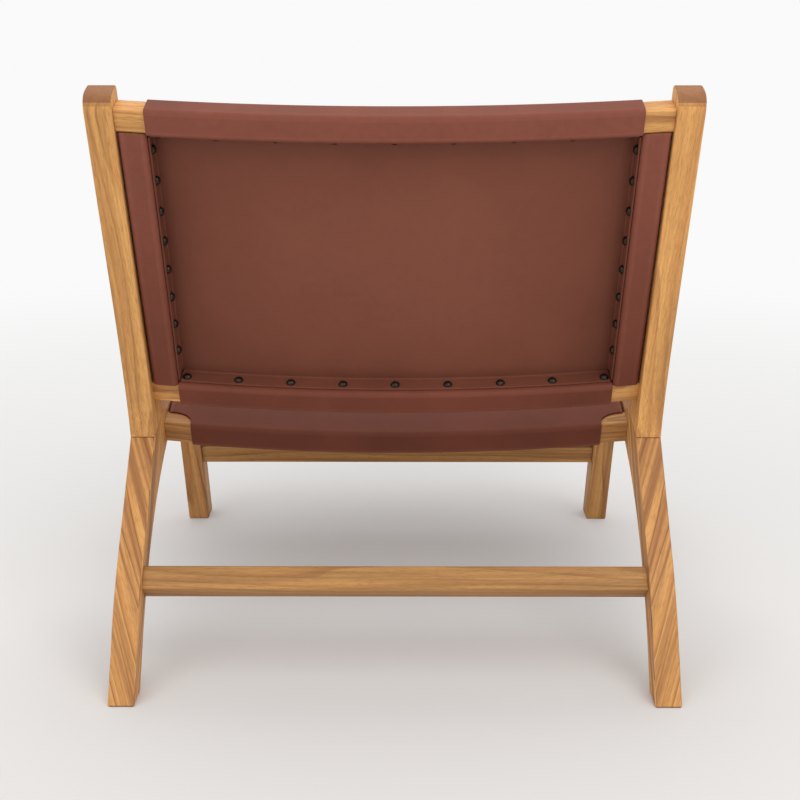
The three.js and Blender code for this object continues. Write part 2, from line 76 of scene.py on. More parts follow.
# sRGB hex to the linear colour that the shaders want
def linear(code):
    channels = [int(code[i:i + 2], 16) / 255 for i in (1, 3, 5)]
    return [c / 12.92 if c <= 0.04045 else ((c + 0.055) / 1.055) ** 2.4 for c in channels] + [1]


# sets or links a node's inputs; a node given as a link means its first output
def plug(node, links):
    for socket, value in links.items():
        if isinstance(value, bpy.types.Node):
            value = value.outputs[0]
        if isinstance(value, bpy.types.NodeSocket):
            node.id_data.links.new(value, node.inputs[socket])
        else:
            node.inputs[socket].default_value = value


# one node with its settings and links; inputs 1 to 4 of a Map Range are the range it reads and
# the range it gives, and 6 and 7 of a colour Mix are its colours
def addNode(tree, kind, links=None, **settings):
    node = tree.nodes.new(kind)
    for key, value in settings.items():
        setattr(node, key, value)
    plug(node, links or {})
    return node


def newMaterial(name):
    material = bpy.data.materials.new(name)
    material.use_nodes = True
    tree = material.node_tree
    return material, partial(addNode, tree), tree.nodes["Principled BSDF"]


# grey stops of a colour ramp
def setStops(ramp, stops):
    elements = ramp.color_ramp.elements
    while len(elements) < len(stops):
        elements.new(0.5)
    for element, (position, level) in zip(elements, stops):
        element.position = position
        element.color = (level, level, level, 1)


# oiled teak, planed and sanded: golden ground, brown growth bands and streaks, fine open pores,
# satin sheen
teakFinish = {
    "pale": "#d9a25f",
    "gold": "#bf8148",
    "streak": "#955f38",
    "line": "#6d4224",
    "pore": "#7a4c2a",
    "endGrain": "#6f4228",
    "endGrainPale": "#8c5a38",
    "bandWidth": 10,           # mm between growth bands
    "wanderBands": 5,          # how far the bands wander, in bands
    "wanderSize": (420, 50),   # mm along and across the grain, as the other sizes are
    "streakSize": (600, 13),
    "lineSize": (700, 17),
    "toneSize": (600, 80),
    "fineSize": (260, 3.2),
    "poreSize": (14, 0.9),     # true pores are finer; drawn this wide to show
    "endSize": (40, 3),
    "relief": 0.00025,         # metres
    "reliefStrength": 0.22,
    "roughness": 0.5,
    "ior": 1.5,
    "specular": 0.3,
}


def teakMaterial(finish):
    material, add, shader = newMaterial("oiledTeak")
    grain = add("ShaderNodeAttribute", attribute_name="grain").outputs["Vector"]
    ends = add("ShaderNodeAttribute", attribute_name="endGrain").outputs["Fac"]
    figure = add("ShaderNodeAttribute", attribute_name="figure").outputs["Fac"]

    def scaled(size):
        lengthwise, crosswise = size
        factors = (1000 / lengthwise, 1000 / crosswise, 1000 / crosswise)
        return add("ShaderNodeVectorMath", {0: grain, 1: factors}, operation="MULTIPLY")

    # growth bands are rings round a far heart line, so they run along faces and arch on ends
    wander = add("ShaderNodeTexNoise",
                 {"Vector": scaled(finish["wanderSize"]), "Scale": 1, "Detail": 1,
                  "Roughness": 0.4})
    across = add("ShaderNodeVectorMath", {0: grain, 1: (0, 1, 1)}, operation="MULTIPLY")
    radius = add("ShaderNodeVectorMath", {0: across}, operation="LENGTH").outputs["Value"]
    turns = add("ShaderNodeMath", {0: radius, 1: 1000 / finish["bandWidth"]}, operation="MULTIPLY")
    phase = add("ShaderNodeMath", {0: wander, 1: finish["wanderBands"], 2: turns},
                operation="MULTIPLY_ADD")
    band = add("ShaderNodeMath", {0: phase}, operation="FRACT")
    late = add("ShaderNodeValToRGB", {"Fac": band})
    setStops(late, ((0, 0.1), (0.5, 0.28), (0.84, 1), (1, 0.15)))
    contrast = add("ShaderNodeMath", {0: figure, 1: 0.45, 2: 0.55}, operation="MULTIPLY_ADD")
    lateDepth = add("ShaderNodeMath", {0: late, 1: contrast}, operation="MULTIPLY")
    ground = add("ShaderNodeMix",
                 {"Factor": lateDepth, 6: linear(finish["pale"]), 7: linear(finish["gold"])},
                 data_type="RGBA")

    # broad brown streaks, long in the grain
    streakNoise = add("ShaderNodeTexNoise",
                      {"Vector": scaled(finish["streakSize"]), "Scale": 1, "Detail": 2,
                       "Roughness": 0.5})
    streakShare = add("ShaderNodeMapRange", {"Value": streakNoise, 1: 0.44, 2: 0.68, 3: 0, 4: 0.95},
                      interpolation_type="SMOOTHSTEP")
    streakDepth = add("ShaderNodeMath", {0: streakShare, 1: figure}, operation="MULTIPLY")
    streaked = add("ShaderNodeMix",
                   {"Factor": streakDepth, 6: ground.outputs[2], 7: linear(finish["streak"])},
                   data_type="RGBA")

    # a thin dark line closes some of the bands
    close = add("ShaderNodeValToRGB", {"Fac": band})
    setStops(close, ((0.78, 0), (0.92, 1), (0.97, 1), (1, 0)))
    lineNoise = add("ShaderNodeTexNoise",
                    {"Vector": scaled(finish["lineSize"]), "Scale": 1, "Detail": 1})
    lineShare = add("ShaderNodeMapRange", {"Value": lineNoise, 1: 0.4, 2: 0.6, 3: 0.1, 4: 0.85},
                    interpolation_type="SMOOTHSTEP")
    lineMark = add("ShaderNodeMath", {0: lineShare, 1: close}, operation="MULTIPLY")
    lineDepth = add("ShaderNodeMath", {0: lineMark, 1: figure}, operation="MULTIPLY")
    lined = add("ShaderNodeMix",
                {"Factor": lineDepth, 6: streaked.outputs[2], 7: linear(finish["line"])},
                data_type="RGBA")

    # each piece has its own depth of colour, which on the low rails is partly painted shade from
    # the seat above, with a slow change along it and fine straight streaks
    boardAndShade = add("ShaderNodeAttribute", attribute_name="boardAndShade").outputs["Fac"]
    tone = add("ShaderNodeTexNoise",
               {"Vector": scaled(finish["toneSize"]), "Scale": 1, "Detail": 2})
    toneShare = add("ShaderNodeMapRange", {"Value": tone, 1: 0.32, 2: 0.68, 3: 0.88, 4: 1.1})
    fine = add("ShaderNodeTexNoise",
               {"Vector": scaled(finish["fineSize"]), "Scale": 1, "Detail": 2, "Roughness": 0.55})
    fineShare = add("ShaderNodeMapRange", {"Value": fine, 1: 0.3, 2: 0.7, 3: 0.83, 4: 1.11})
    boardAndShadeDepth = add("ShaderNodeMath", {0: toneShare, 1: boardAndShade}, operation="MULTIPLY")
    depth = add("ShaderNodeMath", {0: boardAndShadeDepth, 1: fineShare}, operation="MULTIPLY")
    toned = add("ShaderNodeVectorMath", {0: lined.outputs[2], "Scale": depth}, operation="SCALE")

    # fine pores
    poreNoise = add("ShaderNodeTexNoise",
                    {"Vector": scaled(finish["poreSize"]), "Scale": 1, "Detail": 2,
                     "Roughness": 0.6})
    poreShare = add("ShaderNodeMapRange", {"Value": poreNoise, 1: 0.5, 2: 0.74, 3: 0, 4: 0.5})
    pored = add("ShaderNodeMix", {"Factor": poreShare, 6: toned, 7: linear(finish["pore"])},
                data_type="RGBA")

    # cut ends drink more oil and go darker and redder
    endNoise = add("ShaderNodeTexNoise",
                   {"Vector": scaled(finish["endSize"]), "Scale": 1, "Detail": 3})
    endColour = add("ShaderNodeMix",
                    {"Factor": endNoise, 6: linear(finish["endGrain"]),
                     7: linear(finish["endGrainPale"])}, data_type="RGBA")
    endShare = add("ShaderNodeMapRange", {"Value": ends, 1: 0.3, 2: 0.52, 3: 0, 4: 0.85},
                   interpolation_type="SMOOTHSTEP")
    colour = add("ShaderNodeMix",
                 {"Factor": endShare, 6: pored.outputs[2], 7: endColour.outputs[2]},
                 data_type="RGBA")

    rough = finish["roughness"]
    gloss = add("ShaderNodeMapRange",
                {"Value": poreNoise, 1: 0.3, 2: 0.75, 3: rough - 0.05, 4: rough + 0.14})
    height = add("ShaderNodeMath", {0: poreShare, 1: -1.0, 2: late}, operation="MULTIPLY_ADD")
    bump = add("ShaderNodeBump",
               {"Strength": finish["reliefStrength"], "Distance": finish["relief"],
                "Height": height})
    plug(shader,
         {"Base Color": colour.outputs[2], "Roughness": gloss, "Normal": bump, "IOR": finish["ior"],
          "Specular IOR Level": finish["specular"]})
    return material


# vegetable tanned hide, finished smooth: even red brown with slow clouding, tight pebble grain,
# soft sheen
leatherFinish = {
    "deep": "#633729",
    "warm": "#764032",
    "wornAndLit": "#965a4b",
    "pebble": 1.8,       # mm, true grain is nearer 0.7 and wouldn't show
    "pit": 0.6,          # of a pebble's size
    "cloud": 160,
    "mottle": 110,       # per metre
    "relief": 0.0005,    # metres
    "reliefStrength": 0.16,
    "roughness": 0.5,
    "ior": 1.46,
    "specular": 0.1,
}
linerFinish = {
    **leatherFinish,
    "deep": "#6c3e30",
    "warm": "#784737",
    "wornAndLit": "#8e5747",
    "cloud": 180,
    "roughness": 0.54,
}


def leatherMaterial(name, finish):
    material, add, shader = newMaterial(name)
    place = add("ShaderNodeTexCoord").outputs["Object"]
    cloud = add("ShaderNodeTexNoise",
                {"Vector": place, "Scale": 1000 / finish["cloud"], "Detail": 4, "Roughness": 0.6})
    share = add("ShaderNodeMapRange", {"Value": cloud, 1: 0.3, 2: 0.7, 3: 0, 4: 1})
    base = add("ShaderNodeMix",
               {"Factor": share, 6: linear(finish["deep"]), 7: linear(finish["warm"])},
               data_type="RGBA")
    # paler on worn folds, and lighter and darker by the painted light and shade that each hide's
    # fade lays out
    wornAndLit = add("ShaderNodeAttribute", attribute_name="wornAndLit").outputs["Fac"]
    mottle = add("ShaderNodeTexNoise", {"Vector": place, "Scale": finish["mottle"], "Detail": 4})
    patchy = add("ShaderNodeMapRange", {"Value": mottle, 1: 0.3, 2: 0.7, 3: 0.44, 4: 0.56})
    wornAndLitShare = add("ShaderNodeMath", {0: wornAndLit, 1: patchy}, operation="MULTIPLY")
    colour = add("ShaderNodeMix",
                 {"Factor": wornAndLitShare, 6: base.outputs[2], 7: linear(finish["wornAndLit"])},
                 data_type="RGBA")
    # pebble grain: cells with creases between them, and finer pits
    cells = add("ShaderNodeTexVoronoi",
                {"Vector": place, "Scale": 1000 / finish["pebble"], "Randomness": 1},
                feature="SMOOTH_F1")
    pits = add("ShaderNodeTexNoise",
               {"Vector": place, "Scale": 1000 / (finish["pebble"] * finish["pit"]), "Detail": 3,
                "Roughness": 0.6})
    height = add("ShaderNodeMath", {0: cells.outputs["Distance"], 1: -0.8, 2: pits},
                 operation="MULTIPLY_ADD")
    bump = add("ShaderNodeBump",
               {"Strength": finish["reliefStrength"], "Distance": finish["relief"],
                "Height": height})
    rough = finish["roughness"]
    gloss = add("ShaderNodeMapRange",
                {"Value": pits, 1: 0.3, 2: 0.7, 3: rough - 0.06, 4: rough + 0.08})
    plug(shader,
         {"Base Color": colour.outputs[2], "Roughness": gloss, "Normal": bump, "IOR": finish["ior"],
          "Specular IOR Level": finish["specular"]})
    return material


# dark antique bronze, stamped domes: near black brown with rubbed tops
bronzeFinish = {
    "dark": "#241e1b",
    "rubbed": "#584c40",
    "patch": 420,        # per metre
    "roughness": 0.34,
    "metallic": 0.85,
}


def bronzeMaterial(finish):
    material, add, shader = newMaterial("antiqueBronze")
    place = add("ShaderNodeTexCoord").outputs["Object"]
    patches = add("ShaderNodeTexNoise", {"Vector": place, "Scale": finish["patch"], "Detail": 3})
    share = add("ShaderNodeMapRange", {"Value": patches, 1: 0.35, 2: 0.75, 3: 0.05, 4: 0.55})
    colour = add("ShaderNodeMix",
                 {"Factor": share, 6: linear(finish["dark"]), 7: linear(finish["rubbed"])},
                 data_type="RGBA")
    rough = finish["roughness"]
    gloss = add("ShaderNodeMapRange", {"Value": patches, 1: 0.3, 2: 0.7, 3: rough + 0.12, 4: rough})
    plug(shader,
         {"Base Color": colour.outputs[2], "Roughness": gloss, "Metallic": finish["metallic"]})
    return material


teak = teakMaterial(teakFinish)
hide = leatherMaterial("smoothHide", leatherFinish)
linerHide = leatherMaterial("linerHide", linerFinish)
bronze = bronzeMaterial(bronzeFinish)
print("materials made")

# the chair's layout in mm, (forward, height) with forward counted from the rear heel
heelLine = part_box("left_rear_leg")[1].y * 1000
chair = {
    "outerHalf": 355.5,
    "stock": 33,
    "gap": 0.3,
    "seatSlope": 16.7,
    "seatRear": 95,
    "seatEnd": 511,
    "seatRail": (28, 32),     # along the seat, down
    "backRail": (28, 30),     # along the back, forward
    "backOpening": 355,
    "backBow": 25,
    "seatBow": 18,
    "stile": (289.5, 317.5),  # across, inner and outer face
    "flapHalf": 286,
    "hide": 2.5,
    "hook": 18,
}
innerHalf = chair["outerHalf"] - chair["stock"]

# lines of a side frame; leans are in degrees backward from upright, heights are above the floor
sideFrame = {
    "legLowLean": -30,
    "legHighLean": -43,
    "postFootLean": 7,
    "postLean": 18.3,
    "backLean": 19.3,
    "bendHeight": 115,
    "bendReach": 46,          # the rear leg's bend, each way along its rear edge
    "headHeight": 252,
    "waistHeight": 279,
    "postFoot": 64,           # along the foot's lean, to the middle of the post's bend
    "postBend": 144,          # and on to where the post runs straight
    "postDepth": 40,
    "postTop": 744,
    "postRounds": (22, 7),    # rear and front corner of the post's top
    "backFrom": (16.8, 3.6),  # the back frame's place, below the post's rear corner and forward
    "flareUp": 105,           # hollow between post and seat
    "flareAlong": 65,
    "headPast": 10,           # the head's end, ahead of the hollow
    "railDrop": 34,
    "railEnd": 519,
    "railRound": 9,
    "footDepth": 41,
    "swellFrom": 37,          # the rear leg's front edge starts to swell here
    "swellPull": (0.32, 0.4),
    "frontLeg": 333,          # rear face of the front leg, along the seat
    "frontLegDepth": 41,
}


def flat(forward, height):
    return Vector((forward, height))


def lean(angle):
    return flat(-math.sin(math.radians(angle)), math.cos(math.radians(angle)))


def ahead(rising):
    return flat(rising.y, -rising.x)


def atHeight(point, direction, height):
    return point + direction * ((height - point.y) / direction.y)


def crossing(pointA, directionA, pointB, directionB):
    span = pointB - pointA
    turn = directionA.x * directionB.y - directionA.y * directionB.x
    return pointA + directionA * ((span.x * directionB.y - span.y * directionB.x) / turn)


seatTilt = math.radians(chair["seatSlope"])
seatAlong = flat(math.cos(seatTilt), math.sin(seatTilt))
seatUp = flat(-seatAlong.y, seatAlong.x)
legLow, legHigh = lean(sideFrame["legLowLean"]), lean(sideFrame["legHighLean"])
footRise, postRise = lean(sideFrame["postFootLean"]), lean(sideFrame["postLean"])
backRise = lean(sideFrame["backLean"])
postForward, backForward, legHighForward = ahead(postRise), ahead(backRise), ahead(legHigh)
legBend = atHeight(flat(0, 0), legLow, sideFrame["bendHeight"])
headRear = atHeight(legBend, legHigh, sideFrame["headHeight"])
waist = atHeight(headRear, legHigh, sideFrame["waistHeight"])
postControl = waist + footRise * sideFrame["postFoot"]
postStraight = postControl + postRise * sideFrame["postBend"]
postFront = postStraight + postForward * sideFrame["postDepth"]
postFrontTop = atHeight(postFront, postRise, sideFrame["postTop"])
postRearTop = postFrontTop - postForward * sideFrame["postDepth"]
backBelow, backAhead = sideFrame["backFrom"]
backOrigin = postRearTop - postRise * backBelow + postForward * backAhead


def seatPoint(station, up):
    return headRear + seatAlong * station + seatUp * up


def backPoint(down, forward):
    return backOrigin - backRise * down + backForward * forward


def inChair(across, point):
    return Vector((across, heelLine - point.x, point.y)) / 1000


def bowAt(across, bow):
    return bow * (1 - (across / innerHalf) ** 2)


def smoothStep(value):
    value = min(1, max(0, value))
    return value * value * (3 - 2 * value)


# a plain mesh object from points in metres and faces
def meshObject(name, points, faces, material):
    mesh = bpy.data.meshes.new(name)
    mesh.from_pydata([tuple(p) for p in points], [], faces)
    mesh.materials.append(material)
    mesh.validate()
    piece = bpy.data.objects.new(name, mesh)
    bpy.context.scene.collection.objects.link(piece)
    return piece


def openMesh(piece):
    build = bmesh.new()
    build.from_mesh(piece.data)
    return build


def closeMesh(build, piece):
    build.to_mesh(piece.data)
    build.free()
    for face in piece.data.polygons:
        face.use_smooth = True


# evens the shading out towards the larger faces
def evenShading(piece, weight, keepSharp=False):
    even = piece.modifiers.new("even", "WEIGHTED_NORMAL")
    even.weight = weight
    even.keep_sharp = keepSharp


# bakes the modifiers into the mesh
def settle(piece):
    graph = bpy.context.evaluated_depsgraph_get()
    graph.update()
    baked = bpy.data.meshes.new_from_object(piece.evaluated_get(graph))
    old = piece.data
    piece.modifiers.clear()
    piece.data = baked
    baked.name = piece.name
    bpy.data.meshes.remove(old)


sawCut = {
    "sideHint": (0.36, 0.28, 0.89),  # sets how the growth rings lie in a board
    "faceLimit": 0.7,                # faces turned less to the side than this take the slant
}


# writes the wood's own directions on a piece: lengthwise and two crosswise distances from its
# heart line; a slant, in degrees, turns the lines on the faces that look forward and back, and
# a bent rail's lines follow its bow
def writeGrain(piece, lengthwise, heart, tone, figure, slant, bow):
    mesh = piece.data
    axis = Vector(lengthwise).normalized()
    side = axis.cross(Vector(sawCut["sideHint"])).normalized()
    outward = Vector((math.copysign(1, slant), 0, 0))
    turn = math.radians(abs(slant))
    straight = (axis, side, axis.cross(side))
    slanted = (axis * math.cos(turn) + outward * math.sin(turn),
               outward * math.cos(turn) - axis * math.sin(turn), Vector())
    mesh.attributes.new("grain", "FLOAT_VECTOR", "CORNER")
    mesh.attributes.new("endGrain", "FLOAT", "CORNER")
    grain, ends = mesh.attributes["grain"].data, mesh.attributes["endGrain"].data
    start = Vector(heart)
    for face in mesh.polygons:
        lines = slanted if slant and abs(face.normal.x) < sawCut["faceLimit"] else straight
        for corner in face.loop_indices:
            place = mesh.vertices[mesh.loops[corner].vertex_index].co
            offset = place - start - bow * bowAt(place.x * 1000, 1)
            grain[corner].vector = [offset.dot(line) for line in lines]
            ends[corner].value = abs(face.normal.dot(axis))
    # depth of colour per piece, on the low rails partly painted shade, and strength of figure
    for name, level in (("boardAndShade", tone), ("figure", figure)):
        marks = mesh.attributes.new(name, "FLOAT", "POINT")
        for vertex in mesh.vertices:
            marks.data[vertex.index].value = level


def finishWood(piece, node, lengthwise, heart, tone=1.0, figure=0.5, slant=0, bow=Vector()):
    writeGrain(piece, lengthwise, heart, tone, figure, slant, bow)
    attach(piece, "root")
    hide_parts(node)


# outlines of the side frames: points with the rounding, in mm, of the edge after each
outlineSteps = {"bend": 20, "sweep": 36, "corner": 8}
arris, jointEdge, footEdge = 1.7, 1.1, 2.6


def bendTo(path, control, end, steps):
    start = path[-1][0]
    for i in range(1, steps + 1):
        t = i / steps
        path.append((start.lerp(control, t).lerp(control.lerp(end, t), t), arris))


def sweepTo(path, first, second, end, steps):
    start = path[-1][0]
    for i in range(1, steps + 1):
        t = i / steps
        a, b, c = start.lerp(first, t), first.lerp(second, t), second.lerp(end, t)
        path.append((a.lerp(b, t).lerp(b.lerp(c, t), t), arris))


def cornerTo(path, corner, after, radius):
    behind = (path[-1][0] - corner).normalized()
    onward = (after - corner).normalized()
    path.append((corner + behind * radius, arris))
    bendTo(path, corner, corner + onward * radius, outlineSteps["corner"])


waistLift = (waist - headRear).dot(seatUp)
flareCorner = crossing(postFrontTop, postRise, headRear, seatAlong)
flareStart = flareCorner + postRise * sideFrame["flareUp"]
flareEnd = flareCorner + seatAlong * sideFrame["flareAlong"]
headLength = (flareEnd - headRear).dot(seatAlong) + sideFrame["headPast"]
railLow = -sideFrame["railDrop"]


# the hollow between post and seat, parted where the joint line meets it
def flareSplit(lift):
    part = 1 - math.sqrt(lift / (sideFrame["flareUp"] * postRise.dot(seatUp)))
    above = flareStart.lerp(flareCorner, part)
    below = flareCorner.lerp(flareEnd, part)
    return above, above.lerp(below, part), below


def rearLegPath():
    meet, below = flareSplit(waistLift)[1:]
    headEnd, headLow = seatPoint(headLength, 0), seatPoint(headLength, railLow)
    footFront = flat(sideFrame["footDepth"], 0)
    swellStart = footFront + legLow * sideFrame["swellFrom"]
    swell = (headLow - swellStart).length
    pullHead, pullFoot = sideFrame["swellPull"]
    reach = sideFrame["bendReach"]
    path = [(flat(0, 0), arris), (legBend - legLow * reach, arris)]
    bendTo(path, legBend, legBend + legHigh * reach, outlineSteps["bend"])
    path += [(waist, jointEdge), (meet, arris)]
    bendTo(path, below, flareEnd, outlineSteps["bend"])
    path += [(headEnd, jointEdge), (headLow, arris)]
    sweepTo(path, headLow - seatAlong * swell * pullHead, swellStart + legLow * swell * pullFoot,
            swellStart, outlineSteps["sweep"])
    path.append((footFront, footEdge))
    return path


def postPath():
    above, meet = flareSplit(waistLift + chair["gap"])[:2]
    foot = crossing(waist + seatUp * chair["gap"], seatAlong, waist, footRise)
    rearRound, frontRound = sideFrame["postRounds"]
    path = [(foot, arris)]
    bendTo(path, postControl, postStraight, outlineSteps["bend"])
    cornerTo(path, postRearTop, postFrontTop, rearRound)
    cornerTo(path, postFrontTop, flareStart, frontRound)
    path.append((flareStart, arris))
    bendTo(path, above, meet, outlineSteps["bend"])
    path[-1] = (meet, jointEdge)
    return path


def sideRailPath():
    start, end = headLength + chair["gap"], sideFrame["railEnd"]
    frontTop, frontLow = seatPoint(end, 0), seatPoint(end, railLow)
    path = [(seatPoint(start, 0), arris)]
    cornerTo(path, frontTop, frontLow, sideFrame["railRound"])
    cornerTo(path, frontLow, seatPoint(start, railLow), sideFrame["railRound"])
    path.append((seatPoint(start, railLow), jointEdge))
    return path


def frontLegPath():
    top = railLow - chair["gap"]
    rear = seatPoint(sideFrame["frontLeg"], top)
    front = seatPoint(sideFrame["frontLeg"] + sideFrame["frontLegDepth"], top)
    low = [(atHeight(front, seatUp, 0), footEdge), (atHeight(rear, seatUp, 0), arris)]
    return [(rear, jointEdge), (front, arris)] + low


sideCut = {"cornerAngle": 0.5, "roundSteps": 3, "evenWeight": 100}  # angle in radians


def sidePiece(name, path, side):
    count = len(path)
    faces = [tuple(range(count)), tuple(range(2 * count - 1, count - 1, -1))]
    near, far = side * innerHalf, side * chair["outerHalf"]
    points = [inChair(near, p) for p, w in path] + [inChair(far, p) for p, w in path]
    for i in range(count):
        j = (i + 1) % count
        faces.append((i, i + count, j + count, j))
    piece = meshObject(name, points, faces, teak)
    build = openMesh(piece)
    bmesh.ops.recalc_face_normals(build, faces=build.faces)
    weights = build.edges.layers.float.new("bevel_weight_edge")
    build.verts.ensure_lookup_table()
    for edge in build.edges:
        i, j = sorted(v.index % count for v in edge.verts)
        if i == j:
            # an edge across the stock, rounded where the outline turns a corner
            if edge.calc_face_angle(0) > sideCut["cornerAngle"]:
                roundings = (path[i][1], path[i - 1][1])
                width = jointEdge if jointEdge in roundings else max(roundings)
                edge[weights] = width / footEdge
        else:
            closing = i == 0 and j == count - 1
            edge[weights] = path[j if closing else i][1] / footEdge
    closeMesh(build, piece)
    rounding = piece.modifiers.new("rounding", "BEVEL")
    rounding.limit_method = "WEIGHT"
    rounding.width = footEdge / 1000
    rounding.segments = sideCut["roundSteps"]
    evenShading(piece, sideCut["evenWeight"])
    settle(piece)
    return piece


# how each side piece was sawn: grain direction as (across, forward, up), its heart line's start,
# depth of colour left and right, strength of figure, and slant in degrees
sawn = {
    "rear_leg": {"along": (0, 0.6, 0.78), "heart": (-0.24, 0.11, 0.28), "tone": (1.07, 1.07),
                 "figure": 0.85, "slant": 18},
    "back_post": {"along": (0.03, -0.3, 0.95), "heart": (-0.02, 0.09, 0.2), "tone": (1.06, 1.17),
                  "figure": 0.3, "slant": 0},
    "seat_side_rail": {"along": (0.02, 0.96, 0.29), "heart": (0.05, 0, 0.03), "tone": (0.95, 0.98),
                       "figure": 0.5, "slant": 0},
    "front_leg": {"along": (0.03, -0.29, 0.96), "heart": (0.05, -0.04, 0), "tone": (1.04, 0.82),
                  "figure": 0.6, "slant": 0},
}
boardShift = (0, 0.013, 0.007)  # the two sides come from different boards, so heart lines differ


def buildSideFrames():
    paths = {
        "rear_leg": rearLegPath(),
        "back_post": postPath(),
        "seat_side_rail": sideRailPath(),
        "front_leg": frontLegPath(),
    }
    for word, side in (("left", 1), ("right", -1)):
        for kind, path in paths.items():
            cut = sawn[kind]
            piece = sidePiece(f"{word}_{kind}_wood", path, side)
            middle = inChair(side * innerHalf, path[0][0])
            across, forward, up = cut["along"]
            shift = Vector(cut["heart"]) + Vector(boardShift) * (side + 1)
            heart = middle + Vector((side * shift.x, shift.y, shift.z))
            tone = cut["tone"][0 if side > 0 else 1]
            finishWood(piece, f"{word}_{kind}", (side * across, -forward, up), heart, tone,
                       cut["figure"], side * cut["slant"])


buildSideFrames()
print("side frames made")


# cross rails: a rounded section swept across the chair on its bow
crossRails = {
    "round": 3.0,
    "cornerSteps": 5,
    "bowSteps": 40,
    "sharpAngle": 1.0,        # radians
    "evenWeight": 100,
    "stretcher": 32,
    "rearInset": 7.5,
    "rearHeight": 122,
    "frontHeight": 132,
    "along": (1, 0.02, 0.015),
    "heart": (-400, 28, 34),  # across, and in the rail's own section
    "heartStep": (0, 0.011, 0.017),
    "stileSteps": 4,
    "stileHeart": (0.03, 0.02, 0.01),
}


def roundedSection(width, depth, settings):
    radius, steps = settings["round"], settings["cornerSteps"]
    points = []
    for cx, cy, turn in ((1, 1, 0), (-1, 1, 90), (-1, -1, 180), (1, -1, 270)):
        for i in range(steps + 1):
            angle = math.radians(turn + 90 * i / steps)
            points.append((cx * (width / 2 - radius) + radius * math.cos(angle),
                           cy * (depth / 2 - radius) + radius * math.sin(angle)))
    return points


def sweptPiece(name, rings, settings):
    count = len(rings[0])
    points = [p for ring in rings for p in ring]
    faces = []
    for row in range(len(rings) - 1):
        for i in range(count):
            j = (i + 1) % count
            here, there = row * count, (row + 1) * count
            faces.append((here + i, here + j, there + j, there + i))
    faces.append(tuple(range(count - 1, -1, -1)))
    faces.append(tuple(range(len(points) - count, len(points))))
    piece = meshObject(name, points, faces, teak)
    build = openMesh(piece)
    bmesh.ops.recalc_face_normals(build, faces=build.faces)
    for edge in build.edges:
        edge.smooth = edge.calc_face_angle(0) < settings["sharpAngle"]
    closeMesh(build, piece)
    evenShading(piece, settings["evenWeight"], keepSharp=True)
    settle(piece)
    return piece


def buildCrossRails(settings):
    backWide, backDeep = chair["backRail"]
    seatWide, seatDeep = chair["seatRail"]
    size = settings["stretcher"]
    topMiddle = backWide / 2
    bottomMiddle = backWide + chair["backOpening"] + backWide / 2
    rearMiddle = chair["seatRear"] + seatWide / 2
    frontMiddle = chair["seatEnd"] - seatWide / 2
    onLeg = legBend + legHighForward * (settings["rearInset"] + size / 2)
    low = atHeight(onLeg, legHigh, settings["rearHeight"])
    onFrontLeg = seatPoint(sideFrame["frontLeg"] + sideFrame["frontLegDepth"] / 2, 0)
    lowFront = atHeight(onFrontLeg, seatUp, settings["frontHeight"])
    backSize, seatSize, square = (backWide, backDeep), (seatWide, seatDeep), (size, size)
    backBow, seatBow = chair["backBow"], chair["seatBow"]
    # node, place in the rail's own section, size, bow, depth of colour, strength of figure; the
    # seat rails and stretchers are set darker, partly their own wood and partly painted shade under
    # the seat
    rows = [
        ("top_back_rail", lambda a, b: backPoint(topMiddle + a, backDeep / 2 + b),
         backSize, backBow, 1.01, 0.6),
        ("bottom_back_rail", lambda a, b: backPoint(bottomMiddle + a, backDeep / 2 + b),
         backSize, backBow, 0.95, 0.6),
        ("rear_seat_rail", lambda a, b: seatPoint(rearMiddle + a, b - seatDeep / 2),
         seatSize, seatBow, 0.84, 0.4),
        ("front_seat_rail", lambda a, b: seatPoint(frontMiddle + a, b - seatDeep / 2),
         seatSize, seatBow, 0.85, 0.5),
        ("rear_stretcher", lambda a, b: low + legHigh * a + legHighForward * b,
         square, 0, 0.73, 0.3),
        ("front_stretcher", lambda a, b: lowFront + seatAlong * a + seatUp * b,
         square, 0, 0.76, 0.7),
    ]
    half = innerHalf - chair["gap"]
    heartAcross, heartA, heartB = settings["heart"]
    for number, (node, layout, (width, depth), bow, tone, figure) in enumerate(rows):
        section = roundedSection(width, depth, settings)
        rings = []
        for step in range(settings["bowSteps"] + 1):
            across = half * (2 * step / settings["bowSteps"] - 1)
            drop = bowAt(across, bow)
            rings.append([inChair(across, layout(a, b - drop)) for a, b in section])
        piece = sweptPiece(f"{node}_wood", rings, settings)
        heart = (inChair(heartAcross, layout(heartA, heartB))
                 + Vector(settings["heartStep"]) * number)
        middle = inChair(0, layout(0, -bow)) - inChair(0, layout(0, 0))
        finishWood(piece, node, settings["along"], heart, tone, figure, 0, middle)


buildCrossRails(crossRails)
print("cross rails made")


# the frames that the leather is stretched on: span runs from the first rail's outside, and up
# is measured from the panel's face
def backLayout(span, up):
    return backPoint(span, chair["backRail"][1] + up)


def seatLayout(span, up):
    return seatPoint(chair["seatRear"] + span, up)


backPanel = {
    "layout": backLayout,
    "length": 2 * chair["backRail"][0] + chair["backOpening"],
    "railSpan": chair["backRail"][0],
    "railRise": chair["backRail"][1],
    "bow": chair["backBow"],
    "sag": 3.0,
    "scoop": (24, 24),        # cut-out at each corner of the hide, across and along
    "overRail": 0,            # how far the wings reach over the rails
}
seatPanel = {
    "layout": seatLayout,
    "length": chair["seatEnd"] - chair["seatRear"],
    "railSpan": chair["seatRail"][0],
    "railRise": chair["seatRail"][1],
    "bow": chair["seatBow"],
    "sag": 7.0,
    "scoop": (27, 20),
    "overRail": 4,
}


